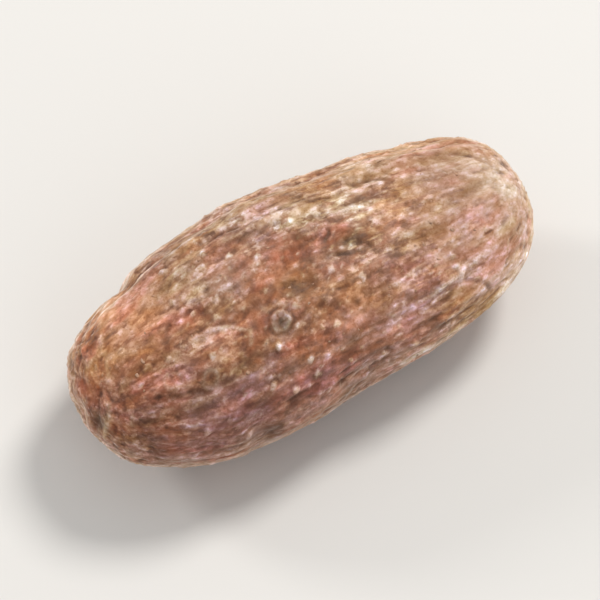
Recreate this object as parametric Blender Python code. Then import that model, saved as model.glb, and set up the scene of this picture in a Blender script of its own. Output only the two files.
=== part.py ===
"""One dried cocoa bean, whole in its shell, lying on a small flat spot of its lower face.

Sizes are in metres. +X runs along the bean from the germ end to the blunt end, +Y across it
and +Z up. The origin is the middle of the bean's outline, on the surface that it lies on.
"""

import math

import bmesh
import bpy
import numpy as np

MM = 0.001

# Driving sizes: length from end to end, width across the broad faces, thickness between them
LENGTH = 26.4 * MM
WIDTH = 12.35 * MM
THICKNESS = 8.9 * MM

# How full the outline and the cross-section are: 2 is an ellipse, and more is squarer
GERM_END_FULLNESS = 2.6
BLUNT_END_FULLNESS = 2.62
SECTION_FULLNESS = 2.3

# The blunt half is a little slimmer. In plan the bean sways and leans a little, and in side
# view both of its ends turn up
BLUNT_HALF_WIDTH = 0.93
BLUNT_HALF_THICKNESS = 0.95
PLAN_SWAY = 0.22 * MM
PLAN_SWAY_TURN = 4.6
PLAN_SKEW = 0.07
SIDE_ARCH = 0.36 * MM

# The keel is the seam round the edge, with a shallow channel on each side of it
KEEL_HEIGHT = 0.17 * MM
KEEL_SPREAD = math.radians(13)
CHANNEL_DEPTH = 0.13 * MM
CHANNEL_LATITUDE = math.radians(34)
CHANNEL_SPREAD = math.radians(8)

# Low ribs from end to end: ribs in a full turn, height, wander, and the phase of the wander
RIBS = (
    (13, 0.060 * MM, 0.9, 0.4),
    (21, 0.048 * MM, 1.6, 2.1),
    (29, 0.030 * MM, 2.3, 4.0),
)

# Uneven drying: wavelength, height and seed of each set of waves
SWELLS = ((9.5 * MM, 0.060 * MM, 3), (5.2 * MM, 0.045 * MM, 8), (2.9 * MM, 0.025 * MM, 14))
WAVES_IN_A_SWELL = 7

# The germ end has a small scar with a raised lip, and the blunt end a pucker
SCAR_LIP_RADIUS = 1.0 * MM
SCAR_LIP_HEIGHT = 0.13 * MM
SCAR_DEPTH = 0.16 * MM
PUCKER_RADIUS = 1.7 * MM
PUCKER_DEPTH = 0.20 * MM

# Dents: face (1 upper, -1 lower), centre, half length, half width, heading in plan and depth
DENTS = (
    (1, 2.5 * MM, -0.6 * MM, 1.30 * MM, 0.45 * MM, -59, 0.17 * MM),
    (1, -8.0 * MM, -3.5 * MM, 1.70 * MM, 0.45 * MM, -34, 0.15 * MM),
    (1, -5.3 * MM, -3.8 * MM, 4.80 * MM, 0.95 * MM, 0, 0.19 * MM),
    (1, -2.8 * MM, -2.7 * MM, 0.60 * MM, 0.60 * MM, 0, 0.10 * MM),
    (1, 5.6 * MM, 2.9 * MM, 3.30 * MM, 0.80 * MM, 8, 0.11 * MM),
    (1, 6.4 * MM, -2.0 * MM, 2.40 * MM, 0.75 * MM, -6, 0.10 * MM),
    (1, -8.6 * MM, 5.0 * MM, 0.75 * MM, 1.10 * MM, 20, 0.32 * MM),
    (1, -6.3 * MM, -6.0 * MM, 0.85 * MM, 0.60 * MM, 30, 0.22 * MM),
    (1, 0.6 * MM, -5.9 * MM, 1.60 * MM, 0.55 * MM, 6, 0.13 * MM),
    (-1, 4.2 * MM, -1.7 * MM, 4.60 * MM, 0.90 * MM, -7, 0.20 * MM),
    (-1, -4.8 * MM, 2.3 * MM, 3.60 * MM, 0.80 * MM, 9, 0.17 * MM),
    (-1, -7.4 * MM, -2.1 * MM, 1.50 * MM, 0.60 * MM, 40, 0.16 * MM),
)

# The flat spot that the bean lies on: how far up the cut is, and the smoother oval round it
REST_CUT = 0.20 * MM
REST_HALF_LENGTH = 6.0 * MM
REST_HALF_WIDTH = 3.4 * MM

# Cells of the grid along the length, the width and the thickness
GRID = (46, 24, 16)

SHELL_COLOUR = (0.36, 0.20, 0.135, 1.0)
SHELL_ROUGHNESS = 0.72


def smooth_step(value, low, high):
    """0 below low, 1 above high, and an S-curve in between."""
    share = np.clip((value - low) / (high - low), 0.0, 1.0)
    return share * share * (3 - 2 * share)


def bump(value, centre, spread):
    return np.exp(-(((value - centre) / spread) ** 2))


def gridded_box():
    """A box from -1 to 1 whose faces are cut into a grid of even cells."""
    bm = bmesh.new()
    bmesh.ops.create_cube(bm, size=2.0)
    for axis, cells in enumerate(GRID):
        along = [
            edge
            for edge in bm.edges
            if abs((edge.verts[1].co - edge.verts[0].co).normalized()[axis]) > 0.9
        ]
        bmesh.ops.subdivide_edges(bm, edges=along, cuts=cells - 1, use_grid_fill=True)
    return bm


def rounded(box_points):
    """The box's points on a unit bean, where its ends, edges and faces are at 1, and its normals."""
    reach = np.tan(box_points * math.pi / 4)
    size = np.abs(reach)
    section = (size[:, 1] ** SECTION_FULLNESS + size[:, 2] ** SECTION_FULLNESS) ** (
        1 / SECTION_FULLNESS
    )
    end = np.where(reach[:, 0] < 0, GERM_END_FULLNESS, BLUNT_END_FULLNESS)
    scale = (size[:, 0] ** end + section**end) ** (1 / end)
    unit = reach / scale[:, None]
    size, section = np.abs(unit), section / scale
    slope = np.stack(
        [
            size[:, 0] ** (end - 1),
            section ** (end - SECTION_FULLNESS) * size[:, 1] ** (SECTION_FULLNESS - 1),
            section ** (end - SECTION_FULLNESS) * size[:, 2] ** (SECTION_FULLNESS - 1),
        ],
        axis=1,
    )
    normals = np.sign(unit) * slope / (LENGTH, WIDTH, THICKNESS)
    return unit, normals / np.linalg.norm(normals, axis=1)[:, None]


def bean_form(unit):
    """The unit bean at its real size, with its slimmer half, its sway, its lean and its arch."""
    blunt_share = smooth_step(unit[:, 0], -0.15, 0.35)
    points = unit * (LENGTH / 2, WIDTH / 2, THICKNESS / 2)
    points[:, 1] *= 1 + (BLUNT_HALF_WIDTH - 1) * blunt_share
    points[:, 2] *= 1 + (BLUNT_HALF_THICKNESS - 1) * blunt_share
    points[:, 1] += PLAN_SWAY * np.cos(PLAN_SWAY_TURN * unit[:, 0])
    points[:, 0] += PLAN_SKEW * points[:, 1]
    points[:, 2] += SIDE_ARCH * unit[:, 0] ** 2
    return points


def swells(points, wavelength, seed):
    """A gentle unevenness from about -1 to 1: waves in several seeded directions, added up."""
    draw = np.random.default_rng(seed)
    heading = draw.normal(size=(WAVES_IN_A_SWELL, 3))
    heading *= 2 * math.pi / wavelength / np.linalg.norm(heading, axis=1)[:, None]
    phase = draw.uniform(0, 2 * math.pi, WAVES_IN_A_SWELL)
    return np.sin(points @ heading.T + phase).sum(axis=1) / math.sqrt(WAVES_IN_A_SWELL)


def ribs(unit):
    """The low ribs, which run from end to end and fade at both ends and on the keel."""
    turn = np.arctan2(unit[:, 2], unit[:, 1])
    off_keel = smooth_step(np.abs(np.sin(turn)), 0.15, 0.6)
    off_ends = 1 - smooth_step(np.abs(unit[:, 0]), 0.78, 0.99)
    height = np.zeros(len(unit))
    for count, rib_height, wander, phase in RIBS:
        line = count * turn + wander * np.sin(2.4 * unit[:, 0] + phase)
        height += rib_height * np.cos(line) * (0.7 + 0.3 * np.sin(3.1 * unit[:, 0] + count))
    return height * off_keel * off_ends


def dent_depth(points, unit, face, x, y, half_length, half_width, heading, depth):
    """How deep one dent is at each point, on its own face only."""
    angle = math.radians(heading)
    dx, dy = points[:, 0] - x, points[:, 1] - y
    along = dx * math.cos(angle) + dy * math.sin(angle)
    across = dy * math.cos(angle) - dx * math.sin(angle)
    shape = np.exp(-((along / half_length) ** 2) - (across / half_width) ** 2)
    return depth * shape * smooth_step(unit[:, 2] * face, -0.35, 0.10)


def relief(points, unit):
    """How far the shell stands out of the plain form at each point."""
    latitude = np.arctan2(np.abs(unit[:, 2]), np.hypot(unit[:, 0], unit[:, 1]))
    height = KEEL_HEIGHT * bump(latitude, 0, KEEL_SPREAD)
    height -= CHANNEL_DEPTH * bump(latitude, CHANNEL_LATITUDE, CHANNEL_SPREAD)
    height += ribs(unit)
    for wavelength, swell_height, seed in SWELLS:
        height += swell_height * swells(points, wavelength, seed)
    for dent in DENTS:
        height -= dent_depth(points, unit, *dent)
    from_germ_tip = np.linalg.norm(points - (-LENGTH / 2, 0, SIDE_ARCH), axis=1)
    height += SCAR_LIP_HEIGHT * bump(from_germ_tip, SCAR_LIP_RADIUS, SCAR_LIP_RADIUS / 2)
    height -= SCAR_DEPTH * bump(from_germ_tip, 0, SCAR_LIP_RADIUS / 2)
    from_blunt_tip = np.linalg.norm(points - (LENGTH / 2, 0, SIDE_ARCH), axis=1)
    height -= PUCKER_DEPTH * bump(from_blunt_tip, 0, PUCKER_RADIUS)
    from_rest = np.hypot(points[:, 0] / REST_HALF_LENGTH, points[:, 1] / REST_HALF_WIDTH)
    return height * (1 - (unit[:, 2] < 0) * (1 - smooth_step(from_rest, 0.5, 1.0)))


def cut_flat_spot(bm):
    """Slices off the lowest part of the lower face, and closes it with one flat face."""
    level = min(vert.co.z for vert in bm.verts) + REST_CUT
    bmesh.ops.bisect_plane(
        bm,
        geom=bm.verts[:] + bm.edges[:] + bm.faces[:],
        plane_co=(0, 0, level),
        plane_no=(0, 0, -1),
        clear_outer=True,
    )
    open_edges = [edge for edge in bm.edges if edge.is_boundary]
    bmesh.ops.edgeloop_fill(bm, edges=open_edges)


def set_down(bm):
    """Moves the bean so that its outline is centred on the origin and its flat spot is at Z 0."""
    points = np.array([vert.co for vert in bm.verts])
    low, high = points.min(axis=0), points.max(axis=0)
    middle = (low + high) / 2
    bmesh.ops.translate(bm, verts=bm.verts, vec=(-middle[0], -middle[1], -low[2]))


def bean_mesh():
    bm = gridded_box()
    unit, normals = rounded(np.array([vert.co for vert in bm.verts]))
    form = bean_form(unit)
    shell = form + normals * relief(form, unit)[:, None]
    for vert, point in zip(bm.verts, shell):
        vert.co = point
    cut_flat_spot(bm)
    set_down(bm)
    bmesh.ops.recalc_face_normals(bm, faces=bm.faces)
    mesh = bpy.data.meshes.new("bean")
    bm.to_mesh(mesh)
    bm.free()
    mesh.shade_smooth()
    mesh.set_sharp_from_angle(angle=math.radians(40))
    return mesh


def shell_material():
    material = bpy.data.materials.new("dried_shell")
    material.use_nodes = True
    surface = material.node_tree.nodes["Principled BSDF"]
    surface.inputs["Base Color"].default_value = SHELL_COLOUR
    surface.inputs["Roughness"].default_value = SHELL_ROUGHNESS
    surface.inputs["Metallic"].default_value = 0.0
    return material


def main():
    for obj in list(bpy.data.objects):
        bpy.data.objects.remove(obj)
    bean = bpy.data.objects.new("bean", bean_mesh())
    bean.data.materials.append(shell_material())
    bpy.context.scene.collection.objects.link(bean)


if __name__ == "__main__":
    main()
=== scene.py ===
"""The looks of one dried cocoa bean: its wrinkled shell, the dried pulp on it, and a small studio.

Sizes are in metres, but the rows of the bean's tables are in plain millimetres. +X runs along the
bean from the germ end to the blunt end, and +Z is up.
"""

import math

import bpy
import numpy as np
from bpy.props import FloatProperty, FloatVectorProperty, IntProperty, PointerProperty
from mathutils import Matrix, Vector


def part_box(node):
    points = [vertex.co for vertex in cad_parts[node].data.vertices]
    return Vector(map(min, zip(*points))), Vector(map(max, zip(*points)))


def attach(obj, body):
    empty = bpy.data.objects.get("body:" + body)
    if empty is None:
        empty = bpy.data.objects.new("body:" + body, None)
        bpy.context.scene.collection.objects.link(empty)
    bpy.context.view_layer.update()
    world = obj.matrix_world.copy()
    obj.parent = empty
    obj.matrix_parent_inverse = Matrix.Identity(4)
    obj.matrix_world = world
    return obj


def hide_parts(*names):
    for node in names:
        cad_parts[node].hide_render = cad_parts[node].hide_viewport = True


bl_info = {
    "name": "Dried Cocoa Bean",
    "version": (1, 0, 0),
    "blender": (4, 5, 0),
    "location": "3D View > Sidebar > Cocoa Bean",
    "description": "Makes the shell of a dried cocoa bean, the dried pulp on it and a studio round it",
    "category": "Add Mesh",
}

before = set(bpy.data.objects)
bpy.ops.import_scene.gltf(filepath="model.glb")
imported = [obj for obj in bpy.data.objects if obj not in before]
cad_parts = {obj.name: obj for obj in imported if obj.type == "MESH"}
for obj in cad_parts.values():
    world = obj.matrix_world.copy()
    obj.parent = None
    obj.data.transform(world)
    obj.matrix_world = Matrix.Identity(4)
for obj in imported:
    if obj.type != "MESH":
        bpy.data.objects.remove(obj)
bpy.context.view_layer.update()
BEAN_LOW, BEAN_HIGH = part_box("bean")

MM = 0.001

# The plain form of the bean, in the same named values as the solid
LENGTH = 26.4 * MM
WIDTH = 12.35 * MM
THICKNESS = 8.9 * MM
GERM_END_FULLNESS = 2.6
BLUNT_END_FULLNESS = 2.62
SECTION_FULLNESS = 2.3
BLUNT_HALF_WIDTH = 0.93
BLUNT_HALF_THICKNESS = 0.95
PLAN_SWAY = 0.22 * MM
PLAN_SWAY_TURN = 4.6
PLAN_SKEW = 0.07
SIDE_ARCH = 0.36 * MM
# Where along the bean its slimmer half begins and is full, when half its length is 1
BLUNT_HALF_LIMITS = (-0.15, 0.35)

# The keel round the edge, the channel on each side of it, and how much of the channel is filled on
# the far side of the upper face, up to where the filling fades
KEEL_HEIGHT = 0.17 * MM
KEEL_SPREAD = math.radians(13)
CHANNEL_DEPTH = 0.13 * MM
CHANNEL_LATITUDE = math.radians(34)
CHANNEL_SPREAD = math.radians(8)
CHANNEL_FILL = 0.9
FILL_FADES = (5 * MM, 9 * MM)

# Low ribs: ribs in a full turn, height, wander, and the phase of the wander
RIBS = ((13, 0.060, 0.9, 0.4), (21, 0.048, 1.6, 2.1), (29, 0.030, 2.3, 4.0))
RIB_WANDER_TURN = 2.4
RIB_FADE_TURN = 3.1
RIB_KEEL_LIMITS = (0.15, 0.6)
RIB_END_LIMITS = (0.78, 0.99)
# Uneven drying: wavelength, height and seed of each set of waves
SWELLS = ((9.5, 0.060, 3), (5.2, 0.045, 8), (2.9, 0.025, 14))
WAVES_IN_A_SWELL = 7

# The scar at the germ end and the pucker at the blunt end
SCAR_LIP_RADIUS = 1.0 * MM
SCAR_LIP_HEIGHT = 0.13 * MM
SCAR_DEPTH = 0.16 * MM
PUCKER_RADIUS = 1.7 * MM
PUCKER_DEPTH = 0.20 * MM

# Dents: face (1 upper, -1 lower), centre, half length, half width, heading in plan and depth
DENTS = (
    (1, 2.5, -0.6, 1.3, 0.45, -59, 0.17), (1, -8.0, -3.5, 1.7, 0.45, -34, 0.15),
    (1, -5.3, -3.8, 4.8, 0.95, 0, 0.19), (1, -2.8, -2.7, 0.6, 0.6, 0, 0.1),
    (1, 5.6, 2.9, 3.3, 0.8, 8, 0.11), (1, 6.4, -2.0, 2.4, 0.75, -6, 0.1),
    (1, -8.6, 5.0, 0.75, 1.1, 20, 0.32), (1, -6.3, -6.0, 0.85, 0.6, 30, 0.22),
    (1, 0.6, -5.9, 1.6, 0.55, 6, 0.13), (-1, 4.2, -1.7, 4.6, 0.9, -7, 0.2),
    (-1, -4.8, 2.3, 3.6, 0.8, 9, 0.17), (-1, -7.4, -2.1, 1.5, 0.6, 40, 0.16),
)

# The flat spot that the bean lies on
REST_CUT = 0.20 * MM
REST_HALF_LENGTH = 6.0 * MM
REST_HALF_WIDTH = 3.4 * MM
REST_LIMITS = (0.5, 1.0)

# The shell's grain runs from tip to tip: the radius that its threads are measured on, how near a
# tip it stops narrowing, and how much longer than wide its finest threads are
GRAIN_RADIUS = 5.2 * MM
GRAIN_LEAST_SHARE = 0.70
GRAIN_STRETCH = 6.0

# Wrinkles with sharp crests: width, how much longer than wide, height and seed
WRINKLES = (
    (2.40, 3.4, 0.060, 21), (1.20, 3.4, 0.050, 22), (0.62, 2.6, 0.032, 23), (0.46, 1.8, 0.026, 24),
)
# Where a wrinkle's crest is and how steeply it falls away, as shares of its height
WRINKLE_CREST = 0.6
WRINKLE_STEEPNESS = 2.2
# Crumpling everywhere, and threads, furrows and veins in places only: the same four values
CRUMPLES = ((1.00, 1.5, 0.020, 31), (0.52, 1.4, 0.022, 32), (0.33, 1.2, 0.016, 33))
THREADS = ((0.62, 4.5, 0.032, 25), (0.38, 5.0, 0.022, 26))
FURROWS = ((1.30, 4.0, 0.070, 27), (0.70, 4.5, 0.050, 28))
VEINS = (1.55, 8.0, 0.035, 41)
FURROW_WIDTH_SHARE = 0.15
VEIN_WIDTH_SHARE = 0.14
# How far the lines of all these wander, as a share of their width, before each one's own bend
LINE_WANDER = 0.6
# Granules of dried crust: spacing, share of places that hold one, radius, height and seed
GRANULES = ((0.85, 0.45, 0.17, 0.060, 51), (0.48, 0.45, 0.11, 0.034, 52))
GRANULE_WARP = 0.45
PIT_SPACING = 1.35 * MM
PIT_SHARE = 0.34
PIT_RADIUS = 0.20 * MM
PIT_DEPTH = 0.055 * MM
FILM_THICKNESS = 0.018 * MM
# Lines in the dried film: strength, width, how much longer than wide, and seed
FILM_LINES = ((0.34, 0.90, 4.2, 60), (0.38, 0.48, 2.0, 64))
# Grit in the film, and streaks in the colour: width, how much longer than wide, and seed
FILM_GRIT = (0.30, 1.2, 63)
STREAKS = (0.55, 2.5, 80)
# Single pale grains of crust, partly painted glints
SPECKS = (
    (-6.45, -0.12, 8.41), (-6.8, -2.6, 8.21), (-8.75, -1.62, 8.04), (-9.88, -1.31, 7.84),
    (-2.04, 0.96, 8.72), (-3.13, 1.9, 8.45), (-6.95, 1.09, 8.26), (-6.69, -6.05, 5.12),
    (-8.7, -5.31, 6.11), (-4.59, -5.05, 6.86), (-6.33, 2.99, 7.88), (-1.72, -2.45, 8.55),
    (-4.2, 2.75, 8.29), (-2.22, -5.47, 6.43), (-2.3, -4.87, 7.11), (-3.63, -5.63, 6.27),
    (7.09, -3.53, 7.49), (7.1, -4.1, 7.12), (3.43, -5.83, 5.17), (1.66, -5.71, 5.37),
    (2.22, -2.59, 8.34), (0.92, -1.55, 8.55), (7.06, -4.45, 6.79), (2.02, 1.73, 8.4),
    (-0.17, -4.09, 7.74), (-3.48, -3.72, 7.77),
)
SPECK_RADIUS = 0.17 * MM
SPECK_HEIGHT = 0.085 * MM
# How far the outlines of rings, strokes and grains are shaken
RING_SHAKE = 0.16 * MM
STROKE_SHAKE = 0.13 * MM
SPECK_SHAKE = 0.14 * MM
# Clouds of noise, the same in every direction, which steer something else: size and seed
BEND_CLOUD = (4.0, 40)
FILM_CLOUD = (2.8, 62)
MARK_CLOUD = (0.7, 70)
KEEL_CLOUD = (2.4, 73)
SPECK_CLOUD = (0.3, 76)
BLOTCH_CLOUD = (1.8, 81)
SPOT_CLOUD = (0.5, 82)
ZONE_CLOUD = (2.6, 83)
GRANULE_CLOUD_SIZE = 0.42
# Patches that hold something else: size, seed, and how dense their cloud is where they begin and
# where they are full
VEIN_PATCHES = (3.2, 42, -0.2, 0.5)
CRUST_PATCHES = (2.8, 53, -0.55, 0.35)
STROKE_PATCHES = (0.8, 75, -0.5, 0.15)
EDGE_PATCHES = (0.8, 79, -1.3, 0.1)
CRUMB_PATCHES = (2.6, 90, -0.35, 0.6)
FIBRE_PATCHES = (4.0, 91, -0.2, 0.6)
FURROW_PATCH_SIZE = 1.7
# How the surface's own hollows are found: rounds of averaging with the neighbours, and the depths
# between which a crest, a hollow and the whole relief show. The colour paints shade into the
# hollows, partly a highlight onto the crests, and light and shade onto the relief.
CAVITY_ROUNDS = 26
CREST_DEPTHS = (0.0, 0.055 * MM)
HOLLOW_DEPTHS = (0.008 * MM, 0.070 * MM)
RELIEF_DEPTH = 0.050 * MM

# The crust in the material: how much longer than wide its grit, its broad flow and its cells are,
# and the size and unevenness of the cells
GRIT_STRETCH = 1.5
FLOW_STRETCH = 2.2
CELL_STRETCH = 1.5
CELL_SIZE = 0.34 * MM
CELL_SHAKE = 0.30 * MM
# How strongly a paler or darker speck changes red, green and blue: pale specks are greyer
TONE_POWERS = (0.68, 1.00, 1.62)
OCHRE_TINT = (1.06, 1.00, 0.74)
ROSE_TINT = (1.06, 0.88, 0.94)
MOSS_TINT = (0.88, 1.02, 0.96)
EMBER_TINT = (1.08, 0.92, 0.80)

# Ring-shaped marks: centre, ring radius, size of the pit inside, how much of a moat it has outside,
# and how deep it is
RINGS = (
    ((-2.79, -2.78, 8.35), 0.46, 0.17, 1.0, 0.080),
    ((-9.18, -2.61, 7.79), 0.42, 0.20, 0.2, 0.035),
    ((-7.42, -3.48, 7.65), 0.40, 0.20, 0.2, 0.035),
)
RING_WIDTH = 0.13
MOAT_WIDTH = 0.15
MOAT_GAP = 0.24
# Strokes: half width, height (sunk when below 0), tint from dark, below 0, to pale, and corners
STROKES = (
    # the torn edge of the cap at the germ end: faint above, and pale below
    (0.16, 0.04, 0.7, (-9.6, 3.6, 6.5), (-10.6, 2.2, 7.2), (-11.2, 1.1, 7.2), (-11.2, 0.5, 7.2),
     (-11.6, -0.2, 7.1), (-11.9, -0.9, 6.9)),
    (0.17, 0.06, 0.9, (-12.3, -1.5, 6.5), (-12.4, -1.7, 6.3), (-12.7, -2.1, 5.8),
     (-13.1, -2.3, 4.9)),
    (0.2, -0.05, -0.45, (-11.9, -1.2, 6.9), (-12.1, -1.4, 6.7), (-12.0, -1.7, 6.5),
     (-12.2, -2.2, 6.2), (-12.6, -2.6, 5.6)),
    (0.17, -0.05, -0.3, (-9.0, 4.4, 6.0), (-10.9, 2.5, 6.9), (-11.6, 1.3, 7.0), (-12.0, 0.4, 6.8),
     (-12.3, -0.5, 6.6), (-12.8, -1.2, 6.0), (-13.1, -1.6, 5.5)),
    (0.15, -0.045, -0.35, (-12.0, 1.6, 6.5), (-12.6, 0.6, 6.2), (-13.0, -0.4, 5.7)),
    # the curved dent: a fold on its left, a dark line below, an eye on its right, a red lens inside
    (0.15, -0.1, -0.95, (2.3, 0.8, 8.6), (1.9, 0.4, 8.6), (1.5, 0.0, 8.6), (1.2, -0.4, 8.6),
     (1.3, -0.8, 8.6), (1.7, -1.0, 8.6)),
    (0.19, -0.13, -1.3, (1.7, -1.0, 8.6), (2.1, -1.15, 8.6), (2.5, -1.2, 8.6)),
    (0.17, -0.11, -1.1, (2.8, -0.8, 8.5), (3.1, -1.0, 8.5), (3.4, -1.3, 8.5)),
    (0.12, -0.05, -0.7, (2.6, -1.2, 8.5), (3.0, -1.5, 8.45), (3.4, -1.3, 8.5)),
    (0.13, -0.05, -0.5, (2.2, 0.1, 8.6), (1.9, -0.3, 8.6), (1.8, -0.6, 8.6)),
    (0.08, 0.06, 0.35, (2.5, 0.4, 8.6), (1.8, 0.0, 8.6), (1.5, -0.5, 8.6)),
    # the pale halo of the ring, and a fold between it and the curved dent
    (0.17, 0.03, 0.45, (-3.3, -1.75, 8.45), (-2.6, -1.8, 8.5), (-1.95, -2.2, 8.4)),
    (0.2, -0.06, -0.55, (0.3, 1.0, 8.7), (0.9, 0.4, 8.7), (1.3, 0.5, 8.7)),
    # creases below the upper face's left half
    (0.21, -0.11, -0.7, (-10.1, -2.9, 7.3), (-9.0, -3.4, 7.4), (-8.0, -3.8, 7.3),
     (-6.8, -4.0, 7.4)),
    (0.2, -0.07, -0.45, (-6.6, -4.0, 7.4), (-5.0, -3.5, 7.8), (-3.9, -3.9, 7.7), (-2.6, -4.3, 7.5)),
    (0.19, -0.06, -0.45, (-10.2, -4.0, 6.6), (-8.8, -4.5, 6.7), (-7.6, -5.0, 6.4)),
    # a curled flake beside the ring
    (0.14, 0.06, 0.6, (-6.3, -1.5, 8.4), (-5.3, -1.7, 8.4), (-4.5, -2.4, 8.4), (-4.7, -3.0, 8.2)),
    # lines in the upper band
    (0.14, 0.055, 0.55, (3.4, 1.1, 8.5), (4.2, 1.0, 8.5), (4.9, 1.0, 8.4), (5.5, 0.8, 8.4)),
    (0.15, -0.06, -0.55, (3.6, 1.5, 8.4), (4.6, 1.4, 8.4), (5.6, 1.2, 8.4)),
    (0.19, -0.07, -0.6, (4.6, 2.8, 7.9), (5.0, 2.6, 7.9), (5.8, 2.3, 7.9), (6.5, 1.6, 8.1)),
    (0.15, -0.05, -0.45, (0.4, 2.6, 8.2), (1.8, 2.7, 8.1), (3.2, 2.4, 8.1)),
    (0.15, -0.045, -0.4, (-3.6, 3.4, 7.9), (-1.8, 3.3, 8.0), (-0.4, 3.6, 7.8)),
    # the thin pale rim of the germ end, along its outline: partly pale film, partly a painted rim
    # highlight
    (0.18, 0.04, 1.1, (-6.4, 4.9, 6.5), (-8.0, 4.4, 6.3), (-9.4, 3.8, 6.1), (-11.0, 3.3, 5.8),
     (-12.2, 2.5, 5.4), (-13.0, 1.4, 4.9), (-13.3, 0.3, 4.6), (-13.3, -0.8, 4.4),
     (-12.9, -2.2, 4.1)),
    # arcs inside the blunt end's edge, and the pale edge itself
    (0.19, -0.045, -0.3, (8.6, 2.6, 7.5), (8.9, 2.5, 7.5), (10.0, 2.2, 7.2), (11.5, 1.3, 7.0),
     (11.9, 0.5, 6.9), (12.2, -0.3, 6.7)),
    (0.34, 0.04, 0.6, (8.5, 2.0, 7.8), (9.9, 1.5, 7.5), (10.9, 1.0, 7.2), (11.5, 0.2, 7.1),
     (11.8, -0.6, 6.9), (11.9, -1.6, 6.7), (11.6, -2.4, 6.6), (11.1, -3.0, 6.6), (10.2, -3.3, 6.9)),
    (0.2, 0.03, 0.4, (9.7, -0.7, 7.7), (10.2, -0.4, 7.6), (10.9, -0.5, 7.3), (11.6, -0.8, 7.0),
     (12.0, -1.4, 6.7)),
    (0.24, 0.05, 1.1, (12.3, 2.6, 5.7), (12.7, 2.0, 6.0), (13.0, 0.8, 6.0), (13.1, -0.3, 5.9),
     (12.9, -1.5, 5.7), (12.6, -2.6, 5.4)),
    (0.34, 0.06, 1.25, (12.6, -2.8, 5.1), (12.0, -3.5, 5.0), (10.8, -4.5, 4.9), (10.0, -4.9, 4.7),
     (8.4, -5.5, 4.4), (6.4, -5.7, 4.2), (4.4, -5.9, 4.2), (2.6, -5.9, 3.9)),
    (0.16, -0.07, -0.6, (7.4, -4.7, 6.4), (8.1, -5.0, 6.0), (8.6, -5.3, 5.2)),
    (0.13, -0.03, -0.45, (10.6, -3.0, 6.8), (11.0, -2.6, 6.8)),
    # threads on the right half
    (0.11, 0.045, 0.45, (2.8, -4.8, 6.9), (5.4, -4.7, 6.8), (6.9, -4.4, 6.9), (9.0, -3.9, 6.8)),
    (0.11, 0.04, 0.4, (3.4, -3.6, 7.7), (5.6, -3.3, 7.7), (7.6, -2.8, 7.7)),
    (0.13, -0.045, -0.4, (3.0, -4.2, 7.3), (5.4, -4.0, 7.3), (7.4, -3.6, 7.3)),
)
# Round hollows: centre, radius and depth. Their darkening is painted shade.
HOLLOWS = (
    (-5.4, -6.3, 4.5, 0.62, 0.13), (-13.1, -1.6, 5.3, 0.42, 0.11), (12.8, 0.4, 6.3, 0.22, 0.09),
    (11.3, -4.0, 5.4, 0.22, 0.06), (-1.0, -6.0, 5.3, 0.34, 0.08), (1.9, -5.7, 5.6, 0.34, 0.08),
    (1.3, -3.6, 7.9, 0.22, 0.06),
)

# The pale dusting on the keel, and the pale edge just above it, which leans to one side, towards the
# camera: partly pale dust, partly a painted rim highlight just inside the outline
PALE_KEEL_SPREAD = math.radians(11)
PALE_EDGE_WAY = (-0.2575, -0.4286, 0.8660)
PALE_EDGE_PLACE = 0.12
PALE_EDGE_REACH = 0.22
# How much more film there is towards the blunt end, and where that begins and is full
PALE_END = 0.45
PALE_END_LIMITS = (3 * MM, 11 * MM)
# How high above the floor the crumbs and fibres begin and are full
PULP_LIMITS = (0.35 * MM, 0.8 * MM)

# Zones: centre, reach and strength. Wrinkles and specks are weaker where it is calm.
CALM_ZONES = (
    (11.6, -0.6, 6.8, 4.4, 0.75), (-12.6, -0.5, 5.6, 3.0, 0.6), (-9.4, 2.2, 7.4, 2.6, 0.45),
    (-7.0, -4.9, 6.4, 4.0, 0.4),
)
THREAD_ZONES = (
    (6.5, -1.8, 7.6, 5.2, 1.0), (2.5, 4.2, 7.2, 4.6, 1.0), (-5.0, 4.6, 6.4, 3.6, 0.8),
    (-3.0, 1.0, 0.0, 6.5, 0.9),
)
FURROW_ZONES = (
    (-7.0, -4.6, 6.8, 3.6, 0.4), (-3.0, -5.6, 6.0, 3.4, 0.6), (1.0, -5.0, 6.6, 3.6, 0.7),
    (-11.8, -2.6, 5.6, 2.4, 0.3), (-2.2, -1.9, 8.4, 2.0, 0.5), (2.0, -0.2, 8.5, 1.4, 0.5),
    (2.0, -2.0, 1.5, 9.0, 0.7),
)
OCHRE_ZONES = (
    (-9.3, 2.0, 7.6, 2.6, 1.0), (-10.6, 1.2, 7.2, 2.0, 1.0), (-5.8, 3.4, 7.8, 2.4, 0.4),
    (7.9, 2.6, 7.6, 2.4, 0.6), (-1.4, -1.6, 8.6, 1.8, 0.45), (1.6, -3.1, 8.0, 1.5, 0.55),
    (-3.5, -3.7, 7.8, 0.5, 1.0), (7.4, -1.2, 8.1, 1.4, 0.5), (6.2, 0.5, 8.4, 1.5, 0.55),
    (7.5, 2.0, 1.0, 3.5, 0.55), (-6.0, -1.0, 0.5, 4.0, 0.5),
)
VIOLET_ZONES = (
    (1.3, -4.8, 6.9, 1.8, 0.75), (3.7, -5.1, 6.4, 2.6, 0.8), (8.5, -3.4, 6.6, 3.4, 0.6),
    (-4.6, -5.2, 6.6, 3.0, 0.8), (-9.6, -4.6, 6.2, 2.8, 0.8), (-4.4, 0.6, 8.7, 0.8, 0.6),
    (-1.0, 4.5, 2.0, 5.0, 0.6),
)
PALE_ZONES = (
    (1.5, 3.6, 7.8, 4.0, 0.5), (-7.5, 1.6, 8.0, 3.6, 0.25), (9.4, -4.6, 5.6, 3.0, 0.4),
)
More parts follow.
